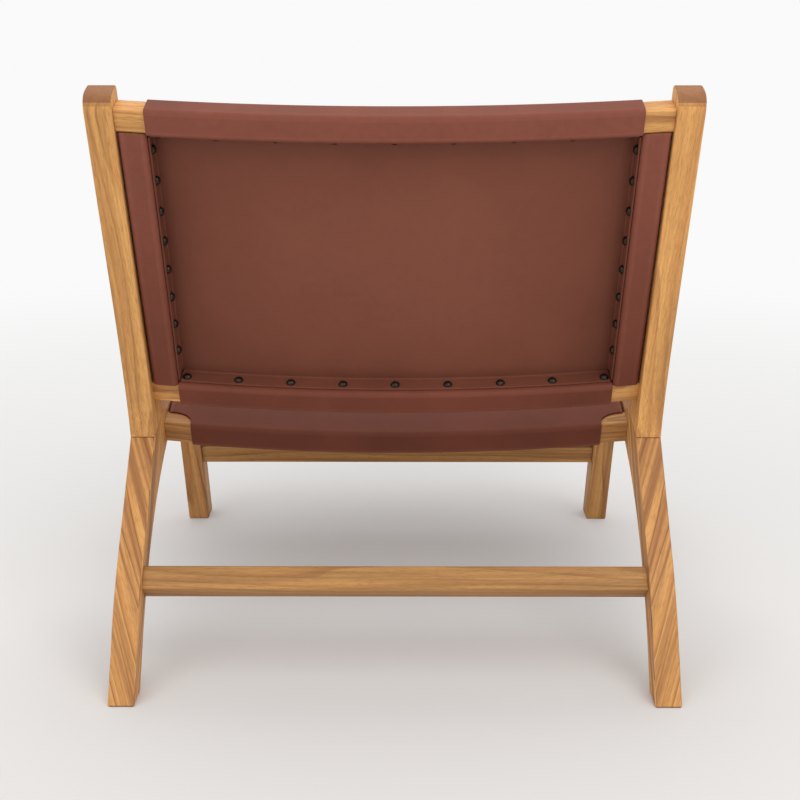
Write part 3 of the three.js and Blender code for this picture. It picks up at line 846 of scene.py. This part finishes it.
# stiles inside the leather wings
def buildStiles(panel, kind, settings):
    inside, outside = chair["stile"]
    section = roundedSection(outside - inside, panel["railRise"], settings)
    steps = settings["stileSteps"]
    first = panel["railSpan"] + chair["gap"]
    last = panel["length"] - first
    for word, side in (("left", 1), ("right", -1)):
        rings = []
        for step in range(steps + 1):
            span = first + (last - first) * step / steps
            ring = []
            for a, b in section:
                across = (inside + outside) / 2 + a
                up = b - panel["railRise"] / 2 - bowAt(across, panel["bow"])
                ring.append(inChair(side * across, panel["layout"](span, up)))
            rings.append(ring)
        node = f"{word}_{kind}_stile"
        piece = sweptPiece(f"{node}_wood", rings, settings)
        along = rings[-1][0] - rings[0][0]
        finishWood(piece, node, along, rings[0][0] + Vector(settings["stileHeart"]))


buildStiles(backPanel, "back", crossRails)
buildStiles(seatPanel, "seat", crossRails)
print("stiles made")

# leather
leatherCut = {
    "bendRadius": 5.0,      # middle of the hide's thickness, at a fold
    "foldSteps": 6,
    "step": 9.0,            # grid spacing
    "edgeStep": 1.2,        # from a fold to the next grid line
    "clearShare": 0.45,     # of a step, kept free beside a line that a cut needs
    "scoopSteps": 12,
    "cutEdge": 0.7,         # rounding of a cut edge
    "cutAngle": 62,
    "cutSteps": 2,
    "evenWeight": 60,
    "ripple": 0.5,          # unevenness of the stretched panel
    "rippleSize": 95,
    "rippleStart": 4,       # how soon it sets in from the rails
    "loose": 0.4,           # the flaps aren't drawn quite tight
    "looseSize": (60, 30),
    "looseFrom": 12,
    "rub": 0.3,             # wear on the folds
}
linerCut = {"flange": 25, "bendRadius": 3.2, "step": 8.0, "cornerGap": 0.15}
sameLevel, sameLine = 1e-4, 1e-3


# points along a folded route: straight runs cut into steps, folds turned round; extra places
# get a point too
def foldedRoute(corners, radius, step, extra=()):
    folds = leatherCut["foldSteps"]
    turns = [math.radians(90 * k / folds) for k in range(folds + 1)]
    runs = [[corners[0]]]
    for before, corner, after in zip(corners, corners[1:], corners[2:]):
        behind, onward = (before - corner).normalized(), (after - corner).normalized()
        centre = corner + (behind + onward) * radius
        runs.append([centre - onward * radius * math.cos(t) - behind * radius * math.sin(t)
                     for t in turns])
    runs.append([corners[-1]])
    points = []
    for i, run in enumerate(runs):
        points += [(p, True) for p in run]
        if i + 1 < len(runs):
            a, b = run[-1], runs[i + 1][0]
            length = (b - a).length
            count = max(1, round(length / step))
            fractions = [k / count for k in range(1, count)]
            if length > 2 * step:
                beside = leatherCut["edgeStep"] / length
                fractions += [beside, 1 - beside]
            for place in extra:
                if abs(a.y - b.y) < sameLevel and min(a.x, b.x) < place < max(a.x, b.x):
                    fractions = [f for f in fractions if abs(a.x + (b.x - a.x) * f - place)
                                 > step * leatherCut["clearShare"]]
                    fractions.append((place - a.x) / (b.x - a.x))
            points += [(a.lerp(b, f), False) for f in sorted(fractions)]
    return points


# slack of a stretched panel between its rails and stiles
def sagShare(panel, across, span):
    half = panel["length"] / 2
    lengthwise = 1 - ((span - half) / (half - panel["railSpan"])) ** 2
    crosswise = 1 - (across / chair["stile"][0]) ** 2
    return max(0, lengthwise) * max(0, crosswise)


def sagAt(panel, across, span):
    share = sagShare(panel, across, span)
    size = leatherCut["rippleSize"]
    wave = noise.noise(Vector((across / size, span / size, panel["bow"])))
    ripple = leatherCut["ripple"] * wave * smoothStep(leatherCut["rippleStart"] * share)
    return panel["sag"] * share + ripple


# one hide cut like a plus: the panel, a flap over each rail and a wing round each stile; the
# window is where the wings start and end, and corner, as (reach, radius), widens the folded
# ends so that they close the corners
def cutHide(name, material, panel, spanRoute, acrossRoute, level, window, flapHalf, fade,
            scoop=None, rub=0, corner=None):
    spans = [(p, bend, abs(p.y - level) < sameLevel) for p, bend in spanRoute]
    crosses = [(p, bend, abs(p.y - level) < sameLevel) for p, bend in acrossRoute]
    low, high = window
    looseAcross, looseSpan = leatherCut["looseSize"]
    points, wornAndLit, index = [], [], {}

    def addPoint(across, span, up, fold):
        drop = bowAt(across, panel["bow"]) + sagAt(panel, across, span)
        points.append(inChair(across, panel["layout"](span, up - drop)))
        # painted light and shade from the hide's fade, plus wear on the folds
        wornAndLit.append(fade(across, span) + rub * fold)
        return len(points) - 1

    def widened(place, up, limits):
        for limit, outward in zip(limits, (-1, 1)):
            if corner and abs(place - limit) < sameLine:
                reach, radius = corner
                return place + outward * reach * min(1, (level - up) / radius)
        return place

    for i, (c, bendC, panelC) in enumerate(crosses):
        for j, (s, bendS, panelS) in enumerate(spans):
            inWing = panelS and low - sameLine <= s.x <= high + sameLine
            inFlap = panelC and abs(c.x) <= flapHalf + sameLine
            if not (inWing or inFlap):
                continue
            if panelC and panelS:
                index[i, j] = addPoint(c.x, s.x, level, False)
            elif panelC:
                wave = noise.noise(Vector((c.x / looseAcross, s.x / looseSpan, s.y / looseSpan)))
                loose = 0.5 + 0.5 * wave
                hangs = s.y < level - leatherCut["looseFrom"]
                across = widened(c.x, s.y, (-flapHalf, flapHalf))
                up = s.y - leatherCut["loose"] * loose * hangs
                index[i, j] = addPoint(across, s.x, up, bendS)
            else:
                index[i, j] = addPoint(c.x, widened(s.x, c.y, window), c.y, bendC)

    # round cut-outs at the four corners, each filled by one patch up to the next grid lines
    patches, taken = [], set()
    if scoop:
        wide, deep = scoop
        steps = leatherCut["scoopSteps"]
        column = {round(c.x, 2): i for i, (c, bend, onPanel) in enumerate(crosses) if onPanel}
        row = {round(s.x, 2): j for j, (s, bend, onPanel) in enumerate(spans) if onPanel}
        for side in (1, -1):
            for edge, outward in ((low, -1), (high, 1)):
                i, j = column[round(side * flapHalf, 2)], row[round(edge, 2)]
                arc = []
                for k in range(1, steps):
                    turn = math.radians(90 * k / steps)
                    across = side * (flapHalf + wide * (1 - math.sin(turn)))
                    span = edge + outward * deep * (1 - math.cos(turn))
                    arc.append(addPoint(across, span, level, False))
                rim = ((i, j + outward), (i - side, j + outward), (i - side, j), (i, j),
                       (i, j - outward), (i + side, j - outward))
                patches.append([index[i + side, j]] + arc + [index[q] for q in rim])
                taken |= {(min(i, i + side), min(j, j - outward)),
                          (min(i, i - side), min(j, j + outward))}

    faces = []
    for i in range(len(crosses) - 1):
        for j in range(len(spans) - 1):
            quad = [(i, j), (i + 1, j), (i + 1, j + 1), (i, j + 1)]
            if (i, j) not in taken and all(q in index for q in quad):
                faces.append(tuple(index[q] for q in quad))
    piece = meshObject(name, points, faces + patches, material)
    area = sum(face.area for face in piece.data.polygons)
    marks = piece.data.attributes.new("wornAndLit", "FLOAT", "POINT")
    for number, value in enumerate(wornAndLit):
        marks.data[number].value = value
    build = openMesh(piece)
    large = [f for f in build.faces if len(f.verts) > 4]
    bmesh.ops.triangulate(build, faces=large, ngon_method="BEAUTY")
    bmesh.ops.recalc_face_normals(build, faces=build.faces)
    closeMesh(build, piece)
    thick = piece.modifiers.new("thick", "SOLIDIFY")
    thick.thickness = chair["hide"] / 1000
    thick.offset = 0
    thick.use_even_offset = True
    pare = piece.modifiers.new("pare", "BEVEL")
    pare.limit_method = "ANGLE"
    pare.angle_limit = math.radians(leatherCut["cutAngle"])
    pare.width = leatherCut["cutEdge"] / 1000
    pare.segments = leatherCut["cutSteps"]
    evenShading(piece, leatherCut["evenWeight"])
    settle(piece)
    return piece, area


def finishHide(piece, node):
    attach(piece, "root")
    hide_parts(node)


# takes out the grid lines that would run through a scoop
def clearBetween(route, level, low, high):
    return [(p, bend) for p, bend in route if bend or abs(p.y - level) > sameLevel
            or not low + sameLine < abs(p.x) < high - sameLine]


# round both bars of a frame, with hooked ends inside them
def hookedRoute(inner, outer, farOuter, farInner, heights, extra):
    hookEnd, under, level = heights
    corners = [flat(inner, hookEnd), flat(inner, under), flat(outer, under), flat(outer, level),
               flat(farOuter, level), flat(farOuter, under), flat(farInner, under),
               flat(farInner, hookEnd)]
    return foldedRoute(corners, leatherCut["bendRadius"], leatherCut["step"], extra)


def buildSling(node, panel, fade):
    gap, half = chair["gap"], chair["hide"] / 2
    wide, deep = panel["scoop"]
    far, flapHalf = panel["length"], chair["flapHalf"]
    level = gap + half
    under = -panel["railRise"] - gap - half
    hookEnd = -panel["railRise"] - gap + chair["hook"]
    heights = (hookEnd, under, level)
    low = panel["railSpan"] + gap - panel["overRail"]
    high = far - low
    near = panel["railSpan"] + gap + half
    out = -gap - half
    spanRoute = hookedRoute(near, out, far - out, far - near, heights,
                            (low - deep, low, high, high + deep))
    spanRoute = clearBetween(spanRoute, level, low - deep, low)
    spanRoute = clearBetween(spanRoute, level, high, high + deep)
    inside = chair["stile"][0] - gap - half
    outside = chair["stile"][1] + gap + half
    acrossRoute = hookedRoute(-inside, -outside, outside, inside, heights,
                              (-flapHalf - wide, -flapHalf, flapHalf, flapHalf + wide))
    acrossRoute = clearBetween(acrossRoute, level, flapHalf, flapHalf + wide)
    piece, area = cutHide(f"{node}_leather", hide, panel, spanRoute, acrossRoute, level,
                          (low, high), flapHalf, fade, scoop=panel["scoop"],
                          rub=leatherCut["rub"])
    finishHide(piece, node)


# painted light and shade on the hides, from 0 for deep to 1 for pale
backPaintedLight = {"edge": 0.3, "edgeFrom": -1.6, "edgeReach": 6, "foot": 0.05}
seatPaintedShade = 0.05
linerPaintedLight = {"middle": 0.9, "top": 0.4, "topReach": 190}


# painted light and shade on the back: painted shade on the top of its upper fold, palest just under
# it, deepening to its foot
def backPaintedShading(across, span):
    past = smoothStep((span - backPaintedLight["edgeFrom"]) / backPaintedLight["edgeReach"])
    edge = backPaintedLight["edge"] + (1 - backPaintedLight["edge"]) * past
    return edge * (1 - (1 - backPaintedLight["foot"]) * smoothStep(span / backPanel["length"]))


# painted shade: the seat is kept as deep as the back's foot, in the shade of the back
def seatPaintedShading(across, span):
    return seatPaintedShade


# painted light and shade on the liner: palest in the middle, with painted shade towards its frame,
# and paler at its top than at its foot
def linerPaintedShading(across, span):
    share = sagShare(backPanel, across, span)
    top = 1 - smoothStep(span / linerPaintedLight["topReach"])
    return linerPaintedLight["middle"] * share + linerPaintedLight["top"] * (1 - share) * top


buildSling("back_sling", backPanel, backPaintedShading)
buildSling("seat_sling", seatPanel, seatPaintedShading)


# liner behind the back: a shallow tray, its four flanges nailed on the hooked ends of the hide
def buildLiner(settings):
    gap, half = chair["gap"], chair["hide"] / 2
    first = chair["backRail"][0] + 2 * gap + chair["hide"] + half
    last = backPanel["length"] - first
    wide = chair["stile"][0] - 2 * gap - chair["hide"] - half
    level, rear = -half, -settings["flange"]
    radius = settings["bendRadius"]

    def trayRoute(near, far):
        corners = [flat(near, rear), flat(near, level), flat(far, level), flat(far, rear)]
        return foldedRoute(corners, radius, settings["step"])

    spanRoute, acrossRoute = trayRoute(first, last), trayRoute(-wide, wide)
    piece, area = cutHide("back_liner_leather", linerHide, backPanel, spanRoute, acrossRoute, level,
                          (first + radius, last - radius), wide - radius, linerPaintedShading,
                          corner=(radius - half - settings["cornerGap"], radius))
    finishHide(piece, "back_liner")


buildLiner(linerCut)
print("leather made")

# dome nails
nailSizes = {
    "headDiameter": 12,
    "headHeight": 5,
    "headSegments": (24, 14),
    "headFloor": -0.0003,  # metres, where the dome is cut flat
    "shankDiameter": 2.4,
    "shankSides": 10,
    "length": 16,
    "proud": 0.1,        # seat of the head above the leather
    "inset": 8,          # from the flange's rear edge
    "topInset": 10,
    "rowCount": 9,
    "rowEnd": 10.9,
    "sideCount": 8,
    "sideTop": 19,
    "sideBottom": 42,
    "stray": 0.7,        # hand set, so not quite even
}
tackSizes = {
    "scale": 0.8,        # of a dome nail
    "up": 9,             # from the underside of the rails
    "rowCount": 9,
    "rowHalf": 262,
    "sideCount": 6,
    "sideEnd": 35,
}


def nailTree(settings):
    tree = bpy.data.node_groups.new("domeNails", "GeometryNodeTree")
    face = tree.interface
    face.new_socket("Geometry", in_out="INPUT", socket_type="NodeSocketGeometry")
    for label in ("Head radius", "Head height", "Shank radius", "Shank length"):
        face.new_socket(label, in_out="INPUT", socket_type="NodeSocketFloat")
    face.new_socket("Finish", in_out="INPUT", socket_type="NodeSocketMaterial")
    face.new_socket("Geometry", in_out="OUTPUT", socket_type="NodeSocketGeometry")
    add = partial(addNode, tree)
    given = add("NodeGroupInput").outputs
    segments, rings = settings["headSegments"]
    ball = add("GeometryNodeMeshUVSphere", {"Segments": segments, "Rings": rings, "Radius": 1.0})
    scale = add("ShaderNodeCombineXYZ",
                {0: given["Head radius"], 1: given["Head radius"], 2: given["Head height"]})
    dome = add("GeometryNodeTransform", {"Geometry": ball, "Scale": scale})
    place = add("GeometryNodeInputPosition")
    parts = add("ShaderNodeSeparateXYZ", {0: place}).outputs
    floorLine = add("ShaderNodeMath", {0: parts[2], 1: settings["headFloor"]}, operation="MAXIMUM")
    flattened = add("ShaderNodeCombineXYZ", {0: parts[0], 1: parts[1], 2: floorLine})
    head = add("GeometryNodeSetPosition", {"Geometry": dome, "Position": flattened})
    rod = add("GeometryNodeMeshCylinder",
              {"Vertices": settings["shankSides"], "Radius": given["Shank radius"],
               "Depth": given["Shank length"]})
    halfDown = add("ShaderNodeMath", {0: given["Shank length"], 1: -0.5}, operation="MULTIPLY")
    shift = add("ShaderNodeCombineXYZ", {2: halfDown})
    shank = add("GeometryNodeTransform", {"Geometry": rod, "Translation": shift})
    nail = add("GeometryNodeJoinGeometry")
    tree.links.new(head.outputs[0], nail.inputs[0])
    tree.links.new(shank.outputs[0], nail.inputs[0])
    soft = add("GeometryNodeSetShadeSmooth", {"Geometry": nail})
    facing = add("GeometryNodeInputNamedAttribute", {"Name": "facing"}, data_type="FLOAT_VECTOR")
    turn = add("FunctionNodeAlignRotationToVector", {"Vector": facing}, axis="Z")
    spread = add("GeometryNodeInstanceOnPoints",
                 {"Points": given["Geometry"], "Instance": soft, "Rotation": turn})
    real = add("GeometryNodeRealizeInstances", {"Geometry": spread})
    painted = add("GeometryNodeSetMaterial", {"Geometry": real, "Material": given["Finish"]})
    add("NodeGroupOutput", {0: painted})
    return tree


domeNails = nailTree(nailSizes)


def buildNails(name, seats, nodes, scale=1.0):
    piece = meshObject(name, [seat for seat, facing in seats], [], bronze)
    facing = piece.data.attributes.new("facing", "FLOAT_VECTOR", "POINT")
    for number, (seat, direction) in enumerate(seats):
        facing.data[number].vector = direction
    nails = piece.modifiers.new("nails", "NODES")
    sizes = {
        "Head radius": nailSizes["headDiameter"] / 2000 * scale,
        "Head height": nailSizes["headHeight"] / 1000 * scale,
        "Shank radius": nailSizes["shankDiameter"] / 2000 * scale,
        "Shank length": nailSizes["length"] / 1000 * scale,
        "Finish": bronze,
    }
    nails.node_group = domeNails
    for socket in domeNails.interface.items_tree:
        if socket.in_out == "INPUT" and socket.name in sizes:
            nails[socket.identifier] = sizes[socket.name]
    settle(piece)
    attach(piece, "root")
    if nodes:
        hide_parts(*nodes)


# a nail's seat and the way it faces, on a rail or on a stile
def railSeat(panel, across, span, away, up):
    seat = inChair(across, panel["layout"](span, up))
    tip = inChair(across, panel["layout"](span + away, up))
    return seat, (tip - seat).normalized()


def stileSeat(panel, side, across, span, up):
    return inChair(side * across, panel["layout"](span, up)), Vector((-side, 0, 0))


def strayAt(number, row):
    return nailSizes["stray"] * noise.noise(Vector((number * 1.7 + 0.3, row * 3.1 + 0.4, 0.5)))


def backNails(settings):
    gap, thick, proud = chair["gap"], chair["hide"], settings["proud"]
    bow, length = backPanel["bow"], backPanel["length"]
    linerHalf = chair["stile"][0] - 2 * gap - thick
    faceSpan = chair["backRail"][0] + 2 * gap + 2 * thick + proud
    count = settings["rowCount"]
    rows = (("top", faceSpan, 1, settings["topInset"]),
            ("bottom", length - faceSpan, -1, settings["inset"]))
    for row, (word, span, away, inset) in enumerate(rows):
        seats = []
        for i in range(count):
            across = (linerHalf - settings["rowEnd"]) * (2 * i / (count - 1) - 1) + strayAt(i, row)
            up = inset - linerCut["flange"] - bowAt(across, bow) + strayAt(i + 20, row)
            seats.append(railSeat(backPanel, across, span, away, up))
        buildNails(f"{word}_nails", seats, [f"{word}_nail_{i + 1}" for i in range(count)])
    count = settings["sideCount"]
    across = linerHalf - thick - proud
    up = settings["inset"] - linerCut["flange"] - bowAt(linerHalf, bow)
    first = faceSpan + gap - proud + settings["sideTop"]
    last = length - faceSpan - gap + proud - settings["sideBottom"]
    for row, (word, side) in enumerate((("left", 1), ("right", -1))):
        seats = []
        for i in range(count):
            span = first + (last - first) * i / (count - 1) + strayAt(i, row + 5)
            seats.append(stileSeat(backPanel, side, across, span, up))
        buildNails(f"{word}_side_nails", seats,
                   [f"{word}_side_nail_{i + 1}" for i in range(count)])


# tacks under the seat hold the hooked ends of its hide
def seatTacks(settings):
    gap, thick, bow = chair["gap"], chair["hide"], seatPanel["bow"]
    length, rail = seatPanel["length"], seatPanel["railSpan"]
    up = -seatPanel["railRise"] + settings["up"]
    count = settings["rowCount"]
    seats = []
    for span, away in ((rail + gap + thick, 1), (length - rail - gap - thick, -1)):
        for i in range(count):
            across = settings["rowHalf"] * (2 * i / (count - 1) - 1)
            seats.append(railSeat(seatPanel, across, span, away, up - bowAt(across, bow)))
    count, end = settings["sideCount"], settings["sideEnd"]
    across = chair["stile"][0] - gap - thick
    for side in (1, -1):
        for i in range(count):
            span = rail + end + (length - 2 * rail - 2 * end) * i / (count - 1)
            seats.append(stileSeat(seatPanel, side, across, span, up - bowAt(across, bow)))
    buildNails("seat_tacks", seats, [], settings["scale"])


backNails(nailSizes)
seatTacks(tackSizes)
print("nails made")

# studio: a pale floor that runs out to white, broad soft lamps
studio = {
    "floor": "#dddbd9",
    "floorHalf": 9,
    "floorRoughness": 0.85,
    "floorSpecular": 0.1,
    "ambient": 0.78,
    "white": 0.955,
    "fadeFrom": (0, -0.5, 0),  # added to a place before its distance is taken, metres
    "fadeReach": 3.1,          # the floor is white from this distance on
}


def buildStudio(settings):
    pureWhite = (1, 1, 1, 1)
    material, add, shader = newMaterial("paintedFloor")
    plug(shader,
         {"Base Color": linear(settings["floor"]), "Roughness": settings["floorRoughness"],
          "Specular IOR Level": settings["floorSpecular"]})
    place = add("ShaderNodeTexCoord").outputs["Object"]
    shifted = add("ShaderNodeVectorMath", {0: place, 1: settings["fadeFrom"]})
    away = add("ShaderNodeVectorMath", {0: shifted}, operation="LENGTH").outputs["Value"]
    fade = add("ShaderNodeMapRange", {"Value": away, 1: 0, 2: settings["fadeReach"], 3: 0, 4: 1},
               interpolation_type="SMOOTHSTEP")
    seen = add("ShaderNodeLightPath").outputs
    share = add("ShaderNodeMath", {0: fade, 1: seen["Is Camera Ray"]}, operation="MULTIPLY")
    white = add("ShaderNodeEmission", {"Color": pureWhite, "Strength": settings["white"]})
    mix = add("ShaderNodeMixShader", {0: share, 1: shader, 2: white})
    plug(material.node_tree.nodes["Material Output"], {"Surface": mix})
    half = settings["floorHalf"]
    corners = [(-half, -half, 0), (half, -half, 0), (half, half, 0), (-half, half, 0)]
    floor = meshObject("studioFloor", corners, [(0, 1, 2, 3)], material)

    world = bpy.data.worlds.new("studio")
    bpy.context.scene.world = world
    world.use_nodes = True
    add = partial(addNode, world.node_tree)
    seen = add("ShaderNodeLightPath").outputs
    direct = add("ShaderNodeMath", {0: seen["Is Camera Ray"], 1: seen["Is Glossy Ray"]},
                 operation="MAXIMUM")
    clear = add("ShaderNodeMath", {0: direct, 1: seen["Is Transmission Ray"]}, operation="MAXIMUM")
    strength = add("ShaderNodeMapRange",
                   {"Value": clear, 3: settings["ambient"], 4: settings["white"]})
    plug(world.node_tree.nodes["Background"], {0: pureWhite, 1: strength})


buildStudio(studio)

lampAim = (0, 0, 0.35)
lamps = {
    "key": {"at": (-1.2, 1.7, 2.3), "size": 1.7, "power": 21},
    "fill": {"at": (1.7, 1.9, 1.9), "size": 1.8, "power": 12},
    "over": {"at": (0.1, -0.2, 2.6), "size": 1.5, "power": 16},
}


def buildLamps(settings):
    for name, lamp in settings.items():
        data = bpy.data.lights.new(name, "AREA")
        data.size = lamp["size"]
        data.energy = lamp["power"]
        light = bpy.data.objects.new(name, data)
        light.location = lamp["at"]
        aim = Vector(lampAim) - Vector(lamp["at"])
        light.rotation_euler = aim.to_track_quat("-Z", "Y").to_euler()
        bpy.context.scene.collection.objects.link(light)


buildLamps(lamps)
bpy.context.scene.view_settings.view_transform = "Standard"
print("studio lit")
